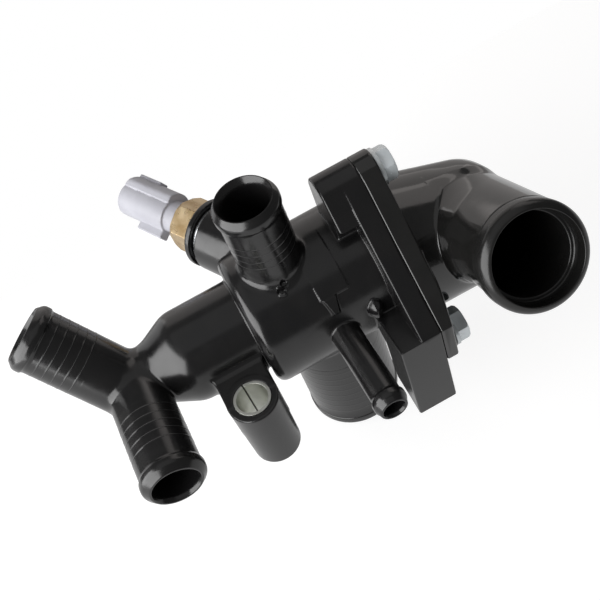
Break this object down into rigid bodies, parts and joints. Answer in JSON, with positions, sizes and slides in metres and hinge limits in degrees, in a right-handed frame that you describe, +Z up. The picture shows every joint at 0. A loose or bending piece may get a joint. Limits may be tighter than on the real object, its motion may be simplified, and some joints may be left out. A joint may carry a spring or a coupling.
{
  "type": "coolant valve housing",
  "caption": "Moulded coolant valve housing with branching hose spigots, a bolted elbow cover, a clipped-in temperature sensor, a sleeved fixing boss and a wax valve inside.",
  "frame": {"origin": "centre of the fixing sleeve's bore at its lower end", "axes": "+Z up the fixing sleeve and the upper spigot, +X along the main tube towards the elbow cover, -Y along the small pipe"},
  "size_m": [0.165, 0.1415, 0.1134],
  "materials": {
    "housing_plastic": "satin black glass-filled moulding",
    "cover_plastic": "fine-grained black glass-filled moulding",
    "bolt_zinc": "bright bluish zinc plating",
    "washer_zinc": "bright bluish zinc plating",
    "insert_brass": "turned brass",
    "sleeve_zinc": "pale zinc plating on rolled steel",
    "sensor_brass": "turned brass",
    "plug_plastic": "pale lavender-grey moulding",
    "terminal_metal": "tinned brass",
    "ring_rubber": "black rubber",
    "clip_steel": "bright spring steel",
    "valve_steel": "pressed steel",
    "seal_rubber": "black rubber",
    "pin_steel": "polished steel",
    "capsule_brass": "drawn brass",
    "spring_steel": "spring wire"
  },
  "bodies": {
    "body": {"housing": "housing_plastic", "outlet_cover": "cover_plastic", "cover_bolts": "bolt_zinc", "bolt_washers": "washer_zinc", "threaded_inserts": "insert_brass", "mount_sleeve": "sleeve_zinc", "sensor_body": "sensor_brass", "sensor_connector": "plug_plastic", "sensor_terminals": "terminal_metal", "sensor_ring": "ring_rubber", "sensor_clip": "clip_steel", "valve_plate": "valve_steel", "valve_seal": "seal_rubber", "valve_bridge": "valve_steel", "piston_pin": "pin_steel", "valve_cage": "valve_steel", "valve_spring": "spring_steel"},
    "valve": {"valve_disc": "valve_steel", "wax_capsule": "capsule_brass", "guide_cap": "capsule_brass"},
    "bleed_pin": {"jiggle_pin": "pin_steel"}
  },
  "joints": [
    {"name": "valve_lift", "type": "slide", "parent": "body", "child": "valve", "axis": [-1, 0, 0], "range_m": [0, 0.008], "stiffness_N_per_m": 2500, "springref_m": -0.012, "deforming": ["valve_spring"]},
    {"name": "bleed_slide", "type": "slide", "parent": "body", "child": "bleed_pin", "axis": [1, 0, 0], "range_m": [0, 0.001]}
  ]
}
